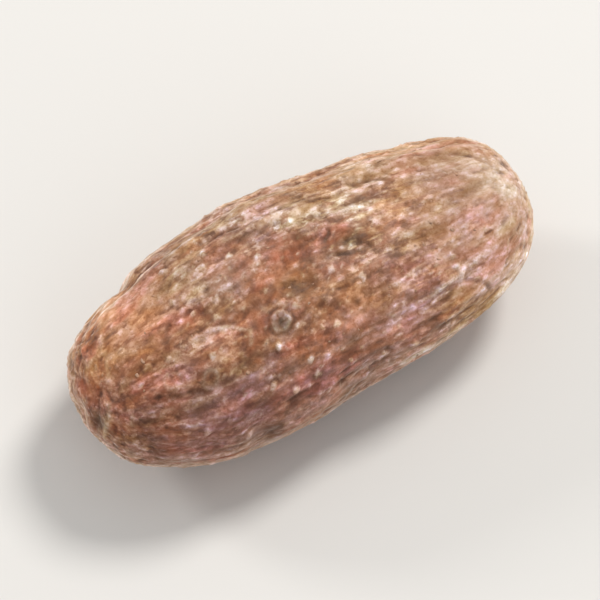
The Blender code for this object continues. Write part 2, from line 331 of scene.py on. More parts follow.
BARE_ZONES = (
    (-0.8, -0.6, 8.7, 3.2, 0.75), (1.9, -0.3, 8.6, 0.9, 0.8), (-2.8, -2.9, 8.2, 1.8, 0.6),
    (-0.8, -5.6, 5.6, 3.6, 0.8), (-9.0, -4.6, 5.6, 3.4, 0.2),
)
CREAM_ZONES = (
    (12.2, -3.4, 4.8, 0.8, 0.8), (10.9, -4.5, 4.7, 0.9, 0.8), (9.8, -5.0, 4.5, 0.9, 0.8),
    (8.4, -5.5, 4.2, 0.9, 0.7), (13.0, 0.2, 5.4, 1.2, 0.6), (11.9, -1.3, 6.7, 0.9, 0.6),
    (11.2, 0.2, 7.2, 1.6, 0.4), (1.2, 4.0, 7.6, 2.2, 0.25), (5.2, 3.6, 7.4, 1.2, 0.5),
)
VEIL_ZONES = (
    (9.6, -1.6, 7.4, 4.6, 0.75), (3.0, -4.4, 7.0, 3.2, 0.3), (-9.6, 1.0, 7.7, 2.2, 0.3),
    (-4.6, 1.0, 8.6, 1.6, 0.3),
)
# Zones at dents and hollows, darkened with the hollows' near-black colour: painted shade.
DARK_ZONES = (
    (-8.0, -3.4, 7.6, 1.6, 0.6), (-6.3, -6.2, 5.0, 0.95, 0.6), (0.5, -5.9, 5.4, 1.5, 0.6),
    (-8.7, 4.6, 6.0, 1.0, 0.7),
)
RUST_ZONES = (
    (12.7, -2.3, 5.4, 0.8, 0.55), (-0.8, 0.8, 8.7, 1.0, 1.0), (-2.0, -1.5, 8.6, 0.7, 1.0),
    (-0.7, -1.0, 8.6, 0.8, 0.9), (-3.9, 1.1, 8.7, 1.0, 0.6), (-8.2, -0.8, 8.1, 0.7, 0.9),
    (-10.4, -1.7, 7.6, 0.7, 0.9), (-12.7, 0.2, 6.1, 1.3, 1.0), (-13.1, -0.8, 5.6, 1.1, 1.0),
    (9.6, -4.3, 6.3, 0.4, 1.0), (10.8, -2.1, 7.1, 0.5, 0.9), (9.2, 0.6, 7.8, 0.9, 0.7),
    (2.0, -0.1, 8.5, 0.5, 1.0), (-1.2, -0.6, 8.7, 2.6, 0.45), (-5.0, -1.6, 8.4, 2.2, 0.35),
)
# Where the shell's colour is stronger or weaker: centre, reach, and change of red, green and blue
# Some zones are painted light and shade: the darkening zones low on the flank of the germ half are
# painted shade, and the row of brightening zones along the lower edge of the blunt half is painted
# light.
TINT_ZONES = (
    (-6.3, 3.2, 7.8, 2.2, -0.26, -0.32, -0.33), (-5.2, 0.8, 8.6, 1.8, 0.06, 0.06, 0.06),
    (7.8, 2.0, 7.8, 1.8, -0.14, -0.14, -0.14), (4.5, -2.5, 8.1, 1.4, -0.06, -0.1, -0.14),
    (8.8, -4.4, 6.6, 1.8, 0.18, 0.16, 0.2), (-0.4, -4.6, 7.4, 2.0, 0.42, 0.58, 0.74),
    (-3.3, -6.1, 5.3, 1.6, 0.4, 0.5, 0.54), (-11.0, -3.8, 6.2, 2.2, -0.08, -0.12, -0.1),
    (-11.2, 1.2, 7.0, 2.0, 0.03, -0.07, -0.22), (-3.6, 2.6, 8.2, 2.6, 0.0, 0.08, 0.08),
    (-6.0, -3.7, 7.6, 1.6, 0.14, 0.3, 0.42), (-0.5, 3.2, 8.1, 3.0, -0.02, 0.04, 0.14),
    (8.6, -2.4, 7.5, 3.2, -0.1, -0.08, -0.06), (6.2, -5.0, 6.3, 2.0, 0.12, 0.22, 0.3),
    (3.4, -5.6, 5.7, 1.5, 0.18, 0.3, 0.4), (11.8, -3.6, 5.2, 1.2, 0.08, 0.13, 0.18),
    (10.2, -4.8, 5.0, 1.3, 0.13, 0.18, 0.24), (8.6, -5.5, 4.6, 1.3, 0.12, 0.16, 0.2),
    (6.6, -5.8, 4.3, 1.3, 0.14, 0.16, 0.2), (0.9, 4.1, 7.7, 2.0, 0.07, 0.12, 0.2),
    (2.3, 3.1, 8.0, 1.4, 0.02, 0.04, 0.12), (4.9, 2.6, 7.9, 1.8, 0.04, 0.08, 0.12),
    (6.8, 0.2, 8.3, 1.2, 0.06, 0.09, 0.08), (0.2, -3.0, 8.1, 1.4, 0.13, 0.13, 0.16),
    (4.0, -4.5, 7.1, 1.0, -0.03, -0.12, -0.17), (4.8, -3.1, 7.9, 1.0, -0.07, -0.12, -0.18),
    (-9.6, -4.7, 6.5, 0.8, 0.18, 0.24, 0.26), (-1.9, -5.4, 6.4, 1.2, -0.2, -0.2, -0.16),
    (5.3, -1.8, 8.3, 0.9, 0.04, 0.12, 0.12), (-6.7, -5.1, 6.8, 1.0, -0.08, -0.12, -0.1),
    (-7.6, -3.2, 7.6, 1.8, 0.08, 0.16, 0.22), (-12.0, -3.5, 5.6, 1.4, -0.1, -0.1, -0.12),
    (4.2, 1.2, 8.3, 2.4, 0.09, 0.19, 0.22), (-2.9, 2.4, 8.3, 3.2, 0.02, 0.13, 0.2),
    (6.6, 3.4, 7.6, 1.8, 0.04, 0.14, 0.18), (3.6, -0.2, 8.5, 2.0, 0.04, 0.12, 0.1),
    (1.2, 1.2, 8.7, 1.4, 0.06, 0.14, 0.06), (-5.0, 0.0, 8.6, 1.6, 0.04, 0.12, 0.16),
    (3.0, -4.8, 6.8, 3.0, 0.26, 0.32, 0.4), (-2.2, -3.9, 7.8, 1.8, 0.2, 0.36, 0.46),
    (10.0, 0.8, 7.6, 2.0, -0.15, -0.16, -0.14), (2.0, -3.0, 8.0, 1.3, -0.1, -0.08, -0.06),
    (-8.8, -1.0, 8.1, 1.8, -0.06, -0.08, -0.08), (-1.2, -1.4, 8.6, 1.3, -0.16, -0.16, -0.18),
    (-6.9, -5.4, 6.4, 2.0, -0.2, -0.28, -0.2), (-9.4, -5.6, 5.2, 2.2, -0.1, -0.18, -0.16),
    (-3.4, -6.2, 4.8, 1.8, -0.16, -0.3, -0.2), (-12.7, -1.1, 6.2, 2.2, -0.22, -0.33, -0.38),
    (-10.5, -1.0, 7.6, 1.2, 0.13, 0.16, 0.22), (11.9, -0.8, 6.8, 1.8, 0.08, 0.22, 0.24),
    (-2.79, -2.78, 8.35, 0.6, -0.26, -0.04, -0.02), (2.5, -0.5, 8.5, 0.5, -0.12, 0.22, 0.3),
    (-12.9, -1.7, 5.7, 0.6, -0.24, -0.04, -0.1),
)


def smooth_step(value, low, high):
    """0 below low, 1 above high, and an S-curve in between."""
    share = np.clip((value - low) / (high - low), 0.0, 1.0)
    return share * share * (3 - 2 * share)


def bump(value, centre, spread):
    """1 at the centre, fading to 0 on both sides of it."""
    return np.exp(-(((value - centre) / spread) ** 2))


def box_lattice(cells):
    """Points and outward quads of a box from -1 to 1 whose faces are cut into even cells."""
    cells = np.array(cells)
    sheets = []
    for axis in range(3):
        one, two = (axis + 1) % 3, (axis + 2) % 3
        i, j = np.meshgrid(np.arange(cells[one]), np.arange(cells[two]), indexing="ij")
        for side in (0, 1):
            ring = ((0, 0), (1, 0), (1, 1), (0, 1)) if side else ((0, 0), (0, 1), (1, 1), (1, 0))
            sheet = np.zeros(i.shape + (4, 3), int)
            for corner, (step_i, step_j) in enumerate(ring):
                sheet[..., corner, axis] = side * cells[axis]
                sheet[..., corner, one] = i + step_i
                sheet[..., corner, two] = j + step_j
            sheets.append(sheet.reshape(-1, 4, 3))
    corners = np.concatenate(sheets)
    keys = (corners[..., 0] * (cells[1] + 1) + corners[..., 1]) * (cells[2] + 1) + corners[..., 2]
    _, first, quads = np.unique(keys, return_index=True, return_inverse=True)
    points = corners.reshape(-1, 3)[first] * 2.0 / cells - 1.0
    return points, quads.reshape(-1, 4)


def rounded(box_points):
    """The box's points on a unit bean, whose ends, edges and faces are at 1, and its normals."""
    reach = np.tan(box_points * math.pi / 4)
    size = np.abs(reach)
    full = SECTION_FULLNESS
    section = (size[:, 1] ** full + size[:, 2] ** full) ** (1 / full)
    end = np.where(reach[:, 0] < 0, GERM_END_FULLNESS, BLUNT_END_FULLNESS)
    scale = (size[:, 0] ** end + section**end) ** (1 / end)
    unit = reach / scale[:, None]
    size, section = np.abs(unit), section / scale
    sides = [section ** (end - full) * size[:, axis] ** (full - 1) for axis in (1, 2)]
    slope = np.stack([size[:, 0] ** (end - 1), *sides], axis=1)
    normals = np.sign(unit) * slope / (LENGTH, WIDTH, THICKNESS)
    return unit, normals / np.linalg.norm(normals, axis=1)[:, None]


def bean_form(unit):
    """The unit bean at its real size, with its slimmer half, its sway, its lean and its arch."""
    blunt_share = smooth_step(unit[:, 0], *BLUNT_HALF_LIMITS)
    points = unit * (LENGTH / 2, WIDTH / 2, THICKNESS / 2)
    points[:, 1] *= 1 + (BLUNT_HALF_WIDTH - 1) * blunt_share
    points[:, 2] *= 1 + (BLUNT_HALF_THICKNESS - 1) * blunt_share
    points[:, 1] += PLAN_SWAY * np.cos(PLAN_SWAY_TURN * unit[:, 0])
    points[:, 0] += PLAN_SKEW * points[:, 1]
    points[:, 2] += SIDE_ARCH * unit[:, 0] ** 2
    return points


def swells(points, wavelength, seed):
    """A gentle unevenness from about -1 to 1: waves in several seeded directions, added up."""
    draw = np.random.default_rng(seed)
    heading = draw.normal(size=(WAVES_IN_A_SWELL, 3))
    heading *= 2 * math.pi / wavelength / np.linalg.norm(heading, axis=1)[:, None]
    phase = draw.uniform(0, 2 * math.pi, WAVES_IN_A_SWELL)
    return np.sin(points @ heading.T + phase).sum(axis=1) / math.sqrt(WAVES_IN_A_SWELL)


def ribs(unit):
    """The low ribs, which run from end to end and fade at both ends and on the keel."""
    turn = np.arctan2(unit[:, 2], unit[:, 1])
    off_keel = smooth_step(np.abs(np.sin(turn)), *RIB_KEEL_LIMITS)
    off_ends = 1 - smooth_step(np.abs(unit[:, 0]), *RIB_END_LIMITS)
    height = np.zeros(len(unit))
    for count, rib_height, wander, phase in RIBS:
        line = count * turn + wander * np.sin(RIB_WANDER_TURN * unit[:, 0] + phase)
        faded = 0.7 + 0.3 * np.sin(RIB_FADE_TURN * unit[:, 0] + count)
        height += rib_height * MM * np.cos(line) * faded
    return height * off_keel * off_ends


def dent_depth(points, unit, face, x, y, half_length, half_width, heading, depth):
    """How deep one dent is at each point, on its own face only."""
    angle = math.radians(heading)
    dx, dy = points[:, 0] - x * MM, points[:, 1] - y * MM
    along = dx * math.cos(angle) + dy * math.sin(angle)
    across = dy * math.cos(angle) - dx * math.sin(angle)
    shape = np.exp(-((along / (half_length * MM)) ** 2) - (across / (half_width * MM)) ** 2)
    return depth * MM * shape * smooth_step(unit[:, 2] * face, -0.35, 0.10)


def off_rest(points, unit):
    """0 round the resting spot and 1 away from it."""
    from_rest = np.hypot(points[:, 0] / REST_HALF_LENGTH, points[:, 1] / REST_HALF_WIDTH)
    return 1 - (unit[:, 2] < 0) * (1 - smooth_step(from_rest, *REST_LIMITS))


def latitude_of(unit):
    """The angle up or down from the keel, seen from the middle of the unit bean."""
    return np.arctan2(np.abs(unit[:, 2]), np.hypot(unit[:, 0], unit[:, 1]))


def broad_relief(points, unit):
    """How far the solid's own surface stands out of the plain form at each point."""
    latitude = latitude_of(unit)
    height = KEEL_HEIGHT * bump(latitude, 0, KEEL_SPREAD)
    far_side = smooth_step(unit[:, 1], 0.1, 0.5) * smooth_step(unit[:, 2], -0.1, 0.2)
    far_side *= 1 - smooth_step(points[:, 0], *FILL_FADES)
    channel = bump(latitude, CHANNEL_LATITUDE, CHANNEL_SPREAD) * (1 - CHANNEL_FILL * far_side)
    height -= CHANNEL_DEPTH * channel
    height += ribs(unit)
    for wavelength, swell_height, seed in SWELLS:
        height += swell_height * MM * swells(points, wavelength * MM, seed)
    for dent in DENTS:
        height -= dent_depth(points, unit, *dent)
    from_germ_tip = np.linalg.norm(points - (-LENGTH / 2, 0, SIDE_ARCH), axis=1)
    height += SCAR_LIP_HEIGHT * bump(from_germ_tip, SCAR_LIP_RADIUS, SCAR_LIP_RADIUS / 2)
    height -= SCAR_DEPTH * bump(from_germ_tip, 0, SCAR_LIP_RADIUS / 2)
    from_blunt_tip = np.linalg.norm(points - (LENGTH / 2, 0, SIDE_ARCH), axis=1)
    height -= PUCKER_DEPTH * bump(from_blunt_tip, 0, PUCKER_RADIUS)
    return height * off_rest(points, unit)


def pick(table, cell):
    """A number from a shuffled table for each cell of a cubic lattice."""
    keys = cell & 255
    return table[(table[(table[keys[:, 0]] + keys[:, 1]) & 255] + keys[:, 2]) & 255]


def noise(points, seed):
    """Smooth gradient noise from about -1 to 1, with one wave to each unit of length."""
    draw = np.random.default_rng(seed)
    table = draw.permutation(256)
    slopes = draw.normal(size=(256, 3))
    slopes /= np.linalg.norm(slopes, axis=1)[:, None]
    cell = np.floor(points).astype(int)
    within = points - cell
    fade = within**3 * (within * (within * 6 - 15) + 10)
    total = np.zeros(len(points))
    for corner in np.ndindex(2, 2, 2):
        slope = ((within - corner) * slopes[pick(table, cell + corner)]).sum(axis=1)
        total += slope * np.where(corner, fade, 1 - fade).prod(axis=1)
    return total * 1.55


def scattered(points, seed):
    """Distance to the nearest of some scattered centres, one to each unit cube, and its draw."""
    draw = np.random.default_rng(seed)
    table = draw.permutation(256)
    places = draw.uniform(size=(256, 3))
    draws = draw.uniform(size=256)
    cell = np.floor(points).astype(int)
    nearest = np.full(len(points), 9.0)
    own = np.zeros(len(points))
    for step in np.ndindex(3, 3, 3):
        node = cell + step - 1
        index = pick(table, node)
        distance = np.linalg.norm(node + places[index] - points, axis=1)
        own = np.where(distance < nearest, draws[index], own)
        nearest = np.minimum(distance, nearest)
    return nearest, own


def near(points, centre, reach):
    """1 at a centre, given in millimetres, and fading over its reach."""
    return bump(np.linalg.norm(points - np.array(centre) * MM, axis=1), 0, reach * MM)


def zones(points, places):
    """How strongly each point lies in a list of zones, from 0 to 1."""
    share = np.zeros(len(points))
    for x, y, z, reach, strength in places:
        share = np.maximum(share, strength * near(points, (x, y, z), reach))
    return share


def tints(points):
    """What the zones of tint add to each of the three colour channels at each point."""
    total = np.ones((len(points), 3))
    for x, y, z, reach, *change in TINT_ZONES:
        total += near(points, (x, y, z), reach)[:, None] * change
    return total - 1


def from_line(points, corners):
    """The distance of each point from a line through some corners, given in millimetres."""
    nearest = np.full(len(points), 1.0)
    corners = np.array(corners) * MM
    for start, end in zip(corners[:-1], corners[1:]):
        way = end - start
        share = np.clip((points - start) @ way / (way @ way), 0.0, 1.0)
        away = np.linalg.norm(points - start - share[:, None] * way, axis=1)
        nearest = np.minimum(nearest, away)
    return nearest


def facing(points, quads):
    """The way each point of a closed surface of quads faces."""
    corners = points[quads]
    faces = np.cross(corners[:, 2] - corners[:, 0], corners[:, 3] - corners[:, 1])
    owners = quads.ravel()
    sums = [np.bincount(owners, np.repeat(faces[:, axis], 4), len(points)) for axis in range(3)]
    ways = np.column_stack(sums)
    return ways / np.linalg.norm(ways, axis=1)[:, None]


def smoothed(values, quads, rounds):
    """Values at the points of a quad mesh, averaged with their neighbours' again and again."""
    turned = np.roll(quads, -1, axis=1)
    ends = np.concatenate([quads, turned]).ravel()
    others = np.concatenate([turned, quads]).ravel()
    counts = np.bincount(ends, minlength=len(values))
    for _ in range(rounds):
        values = (values + np.bincount(ends, values[others], len(values)) / counts) / 2
    return values


class ShellSurface:
    """The fine surface of the bean's shell: its points, its quads and its masks for colour."""

    def __init__(self, settings):
        cells = (settings.cells_along, settings.cells_across, settings.cells_through)
        box_points, self.quads = box_lattice(cells)
        self.unit, self.normals = rounded(box_points)
        form = bean_form(self.unit)
        broad = form + self.normals * broad_relief(form, self.unit)[:, None]
        level = broad[:, 2].min() + REST_CUT
        broad[:, 2] = np.maximum(broad[:, 2], level)
        low, high = broad.min(axis=0), broad.max(axis=0)
        self.broad = broad - np.array([(low[0] + high[0]) / 2, (low[1] + high[1]) / 2, level])
        ring = np.maximum(np.hypot(self.unit[:, 1], self.unit[:, 2]), GRAIN_LEAST_SHARE)
        self.round = self.unit[:, 1:] / ring[:, None] * GRAIN_RADIUS
        self.along = self.unit[:, 0] * LENGTH / 2
        self.wander = LINE_WANDER * self.cloud(*BEND_CLOUD)[:, None]
        self.marked = {}
        fine = self.fine_relief() * settings.relief_strength * off_rest(form, self.unit)
        self.points = self.broad + self.normals * fine[:, None]
        self.points[:, 2] = np.maximum(self.points[:, 2], 0.0)
        self.points *= (BEAN_HIGH.x - BEAN_LOW.x) / (high[0] - low[0])
        self.cavity = smoothed(fine, self.quads, CAVITY_ROUNDS) - fine
        self.masks = self.colour_masks()

    def grain(self, stretch):
        """Coordinates that follow the grain: round the bean twice over, then along it, shortened."""
        return np.column_stack([self.round, self.along / stretch])

    def waves(self, width, stretch, seed, bend=0.0):
        """Noise along the grain, width wide and stretch times as long, whose lines may wander."""
        return noise(self.grain(stretch) / (width * MM) + bend * self.wander, seed)

    def cloud(self, size, seed):
        """Noise of one size in every direction."""
        return noise(self.broad / (size * MM), seed)

    def patches(self, size, seed, low, high):
        """Soft patches: 0 where a cloud is below low, and 1 where it is above high."""
        return smooth_step(self.cloud(size, seed), low, high)

    def shake(self, size, seed):
        """Three noises of one size, to shake points by."""
        return np.column_stack([self.cloud(size, seed + step) for step in range(3)])

    def lift(self, name, values):
        """Raises one of the marks' masks wherever these values are higher."""
        self.marked[name] = np.maximum(self.marked.get(name, 0.0), values)

    def fine_relief(self):
        """Wrinkles, threads, veins, granules, pits, film and the single marks."""
        points = self.broad
        height = np.zeros(len(points))
        self.calm = zones(points, CALM_ZONES)
        for width, stretch, wrinkle, seed in WRINKLES:
            line = np.abs(self.waves(width, stretch, seed, bend=1.0))
            crease = WRINKLE_CREST - WRINKLE_STEEPNESS * line
            height += wrinkle * MM * crease * (1 - self.calm)
        for width, stretch, crumple, seed in CRUMPLES:
            height += crumple * MM * self.waves(width, stretch, seed, bend=0.5)
        self.thready = zones(points, THREAD_ZONES)
        self.threads = np.zeros(len(points))
        for width, stretch, thread, seed in THREADS:
            line = self.waves(width, stretch, seed, bend=1.5)
            height += thread * MM * line * self.thready
            self.threads += 0.5 * line
        furrowed = zones(points, FURROW_ZONES)
        for width, stretch, furrow, seed in FURROWS:
            line = bump(self.waves(width, stretch, seed, bend=1.2), 0, FURROW_WIDTH_SHARE)
            line *= self.patches(FURROW_PATCH_SIZE, seed + 60, -0.5, 0.3) * furrowed
            height -= furrow * MM * line
            self.lift("furrow", line)
        width, stretch, vein, seed = VEINS
        crest = bump(self.waves(width, stretch, seed, bend=1.5), 0, VEIN_WIDTH_SHARE)
        height += vein * MM * (crest * self.patches(*VEIN_PATCHES))
        distance, own = scattered(points / PIT_SPACING, 50)
        radius = PIT_RADIUS / PIT_SPACING * (0.55 + own / PIT_SHARE * 0.7)
        self.lift("pit", (own < PIT_SHARE) * bump(distance, 0, radius))
        height -= PIT_DEPTH * self.marked["pit"]
        crusty = self.patches(*CRUST_PATCHES) * (1 - 0.5 * self.thready)
        for spacing, share, radius, granule, seed in GRANULES:
            lumps = self.granules(spacing, share, radius, seed)
            height += granule * MM * lumps * (0.3 + 0.7 * crusty)
        self.film = self.film_share()
        height += FILM_THICKNESS * smooth_step(self.film, 0.25, 0.6)
        return height + self.marks()

    def granules(self, spacing, share, radius, seed):
        """1 on the top of each granule. It also notes which of them are pale, partly as painted glints
        on their tops, and which rusty.
        """
        warp = GRANULE_WARP * self.shake(GRANULE_CLOUD_SIZE, seed + 5)
        distance, own = scattered(self.broad / (spacing * MM) + warp, seed)
        held = own / share
        size = radius / spacing * (0.7 + 0.6 * held)
        lump = (held < 1) * smooth_step(1.6 - distance / size, 0.0, 1.0)
        self.lift("pale grain", lump * (held < 0.5) * (0.3 + 1.2 * held))
        self.lift("rusty grain", lump * (held >= 0.5))
        return lump

    def film_share(self):
        """How much dried film covers each point: patches, streaks, threads, mottles and grit."""
        lines = sum(strength * self.waves(*line) for strength, *line in FILM_LINES)
        total = lines * (1 - 0.8 * self.calm) + 0.34 * self.cloud(*FILM_CLOUD)
        total += 0.24 * self.waves(*FILM_GRIT)
        total += 0.55 * self.threads * self.thready
        total += zones(self.broad, PALE_ZONES) - zones(self.broad, BARE_ZONES)
        total += PALE_END * smooth_step(self.broad[:, 0], *PALE_END_LIMITS)
        return smooth_step(total, -0.70, 0.90)

    def marks(self):
        """The rings, strokes, hollows and single grains, and the pale keel."""
        points = self.broad
        warp = self.shake(*MARK_CLOUD)
        ragged = points + STROKE_SHAKE * warp
        broken = 0.45 + 0.55 * self.patches(*STROKE_PATCHES)
        height = np.zeros(len(points))
        # The dark of the rings' pits and moats, of the sunk strokes and of the hollows is painted
        # shade.
        for centre, radius, pit_size, moat_share, depth in RINGS:
            away = np.linalg.norm(points + RING_SHAKE * warp - np.array(centre) * MM, axis=1) / MM
            moat = moat_share * bump(away, radius + MOAT_GAP, MOAT_WIDTH)
            crest = bump(away, radius, RING_WIDTH) * broken
            pit = bump(away, 0, pit_size)
            height += depth * MM * (0.8 * crest - 0.7 * moat - pit)
            self.lift("dark", np.maximum(0.42 * moat * broken, (0.35 + 0.35 * moat_share) * pit))
            self.lift("pale", 0.30 * crest)
        for half_width, stroke, tint, *corners in STROKES:
            share = broken * bump(from_line(ragged, corners), 0, half_width * MM)
            height += stroke * MM * share
            self.lift("dark", -tint * share)
            self.lift("pale", tint * share)
        for x, y, z, radius, depth in HOLLOWS:
            share = near(ragged, (x, y, z), radius)
            height -= depth * MM * share
            self.lift("dark", 0.8 * share)
        moved = points + SPECK_SHAKE * self.shake(*SPECK_CLOUD)
        for place in SPECKS:
            away = np.linalg.norm(moved - np.array(place) * MM, axis=1)
            speck = smooth_step(1.5 - away / SPECK_RADIUS, 0.0, 1.0)
            height += SPECK_HEIGHT * speck
            self.lift("pale grain", 0.9 * speck)
        latitude = latitude_of(self.unit) + math.radians(2.5) * self.cloud(*KEEL_CLOUD)
        self.lift("pale", 0.20 * bump(latitude, 0, PALE_KEEL_SPREAD))
        self.lift("pale", zones(points, CREAM_ZONES))
        self.dust_and_rim_light = self.pale_dust_and_rim_light()
        return height

    def pale_dust_and_rim_light(self):
        """1 along the pale edge above the keel: partly pale dust, partly a painted rim highlight just
        inside the outline seen from the camera. It follows the plain form on the far side.
        """
        lean = np.abs(facing(self.broad, self.quads) @ PALE_EDGE_WAY - PALE_EDGE_PLACE)
        plain_lean = np.abs(self.normals @ PALE_EDGE_WAY - PALE_EDGE_PLACE) + 0.12
        x, y = self.broad[:, 0], self.broad[:, 1]
        far_side = smooth_step(y, 1.0 * MM, 3.0 * MM) * (x < FILL_FADES[1])
        lean = np.minimum(lean, plain_lean + 1 - far_side)
        dust_and_rim_light = smooth_step(PALE_EDGE_REACH - lean, 0.0, 0.16)
        dust_and_rim_light *= self.patches(*EDGE_PATCHES)
        return dust_and_rim_light * (1 - 0.4 * smooth_step(-y, 3.5 * MM, 5.5 * MM))

    def colour_masks(self):
        """The masks that the shell's material mixes its colours by."""
        points, marked = self.broad, self.marked
        crest = smooth_step(-self.cavity, *CREST_DEPTHS)
        # Painted shade: the relief's hollows are darkened, and so are pits, furrows, dark marks and
        # dark zones.
        hollow = (0.8 - 0.35 * self.thready) * smooth_step(self.cavity, *HOLLOW_DEPTHS)
        streaks = self.waves(*STREAKS)
        blotches = self.cloud(*BLOTCH_CLOUD)
        spots = self.cloud(*SPOT_CLOUD)
        broad = self.cloud(*ZONE_CLOUD)
        dark = zones(points, DARK_ZONES) * smooth_step(0.5 * spots + 0.5 * streaks, -0.6, 0.5)
        dark = np.maximum(0.7 * dark, np.minimum(marked["dark"], 1.0))
        for deeper in (dark, 0.7 * marked["pit"], 0.50 * marked["furrow"]):
            hollow = np.maximum(hollow, deeper)
        rust = zones(points, RUST_ZONES) * smooth_step(spots + 0.6 * blotches, -0.5, 0.5)
        rust = np.maximum(rust, 0.7 * smooth_step(blotches + 0.6 * spots, 0.15, 0.9))
        # Crests carry more pale film: partly film, partly a painted highlight on the crests.
        film = np.maximum(self.film, 0.8 * crest * (0.35 + 0.65 * self.film)) * (1 - 0.8 * hollow)
        cream = marked["pale"] * (1 - 0.5 * hollow) * smooth_step(spots + 0.6 * streaks, -1.4, 0.1)
        uneven = {
            "ochre": (OCHRE_ZONES, 0.7 * broad + 0.6 * spots, -0.7, 0.5),
            "violet": (VIOLET_ZONES, broad - 0.3 * streaks, -0.9, 0.4),
            "veil": (VEIL_ZONES, 0.6 * broad + 0.7 * spots, -1.0, 0.5),
        }
        return {
            name: zones(points, places) * smooth_step(value, low, high)
            for name, (places, value, low, high) in uneven.items()
        } | {
            "film": film,
            "hollow": hollow,
            "rust": np.maximum(rust, 0.6 * marked["rusty grain"]),
            "thread": self.thready,
            "calm": self.calm,
            "grains": np.minimum(marked["pale grain"], 1.0),
            # The cream also takes the pale edge, which is partly a painted rim highlight.
            "cream": np.maximum(cream, 0.65 * self.dust_and_rim_light),
            "relief": np.clip(-self.cavity / RELIEF_DEPTH, -1.0, 1.0),
            "grain": self.grain(GRAIN_STRETCH),
            "tint": 1 + tints(points) * (1 - self.dust_and_rim_light)[:, None],
        }

    def pulp_shares(self):
        """Where crumbs and fibres of dried pulp lie, in patches, and the way along the grain."""
        above = smooth_step(self.broad[:, 2], *PULP_LIMITS)
        clumps = self.patches(*CRUMB_PATCHES)
        crumbs = (0.12 + 0.88 * clumps) * (0.35 + 0.65 * self.masks["film"]) * above
        strands = self.patches(*FIBRE_PATCHES)
        fibres = strands * above * smooth_step(self.thready, 0.35, 0.8)
        fibres *= (1 - smooth_step(np.abs(self.unit[:, 0]), 0.75, 0.90)) * (1 - self.dust_and_rim_light)
        ahead = (1.0, 0.0, 0.0) - self.normals * self.normals[:, :1]
        ahead /= np.maximum(np.linalg.norm(ahead, axis=1)[:, None], 1e-6)
        return {
            "crumb_share": crumbs * ((1 - self.dust_and_rim_light) * (1 - self.calm)),
            "fibre_share": fibres,
            "grain_way": ahead,
        }


def mesh_of(name, points, faces):
    """A new smooth mesh."""
    mesh = bpy.data.meshes.new(name)
    mesh.from_pydata(points.tolist(), [], faces.tolist())
    mesh.shade_smooth()
    return mesh


def add_values(mesh, name, values):
    """A number or vector at each point of the mesh, which materials and trees read by name."""
    kind, field = ("FLOAT", "value") if values.ndim == 1 else ("FLOAT_VECTOR", "vector")
    attribute = mesh.attributes.new(name, kind, "POINT")
    attribute.data.foreach_set(field, values.astype(np.float32).ravel())


def linked(name, data):
    """A new object in the scene."""
    piece = bpy.data.objects.new(name, data)
    bpy.context.scene.collection.objects.link(piece)
    return piece


def finished(piece):
    """A finished piece: it rides on the part's one body."""
    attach(piece, "root")


class Nodes:
    """Short ways to add and join the nodes of a tree."""

    def __init__(self, tree):
        self.tree = tree

    def put(self, target, value):
        """Joins an input to a socket or to a node's first output, or gives it a plain value."""
        if isinstance(value, bpy.types.Node):
            value = value.outputs[0]
        if isinstance(value, bpy.types.NodeSocket):
            self.tree.links.new(value, target)
        elif target.type == "RGBA":
            target.default_value = (*value, 1.0)
        else:
            target.default_value = value

    def fill(self, node, **inputs):
        for name, value in inputs.items():
            self.put(node.inputs[name.replace("_", " ")], value)
        return node

    def add(self, kind, **values):
        """A new node. Small names are its settings, and names with a capital are its inputs."""
        node = self.tree.nodes.new(kind)
        for name in [name for name in values if name.islower()]:
            setattr(node, name, values.pop(name))
        return self.fill(node, **values)

    def solved(self, kind, values, **settings):
        """The first output of a node whose inputs are filled in their own order."""
        node = self.add(kind, **settings)
        for target, value in zip(node.inputs, values):
            self.put(target, value)
        return node.outputs[0]

    def math(self, operation, *values, clamp=False):
        return self.solved("ShaderNodeMath", values, operation=operation, use_clamp=clamp)

    def times(self, one, two, clamp=False):
        return self.math("MULTIPLY", one, two, clamp=clamp)

    def plus(self, one, two):
        return self.math("ADD", one, two)

    def vector(self, operation, *values):
        return self.solved("ShaderNodeVectorMath", values, operation=operation)

    def between(self, *values):
        """A value carried smoothly from between two limits to between two others."""
        return self.solved("ShaderNodeMapRange", values, interpolation_type="SMOOTHSTEP")

    def value_of(self, name, output="Fac"):
        return self.add("ShaderNodeAttribute", attribute_name=name).outputs[output]

    def noise(self, coordinates, size, detail, output="Fac", roughness=0.6):
        """A noise whose size is in millimetres."""
        scale = 1 / (size * MM)
        node = self.add("ShaderNodeTexNoise", Vector=coordinates, Scale=scale, Detail=detail)
        return self.fill(node, Roughness=roughness).outputs[output]

    def channels(self, colour):
        return self.add("ShaderNodeSeparateColor", Color=colour).outputs

    def bumped(self, height, strength, distance):
        """A bump whose distance is in millimetres."""
        return self.add("ShaderNodeBump", Height=height, Strength=strength, Distance=distance * MM)

    def mixed(self, share, one, two, blend="MIX"):
        """One colour turned towards another by a share."""
        node = self.add("ShaderNodeMix", data_type="RGBA", blend_type=blend)
        for index, value in ((0, share), (6, one), (7, two)):
            self.put(node.inputs[index], value)
        return node.outputs[2]


def new_material(name):
    """A new material, its nodes and its surface shader."""
    material = bpy.data.materials.new(name)
    material.use_nodes = True
    return material, Nodes(material.node_tree), material.node_tree.nodes["Principled BSDF"]


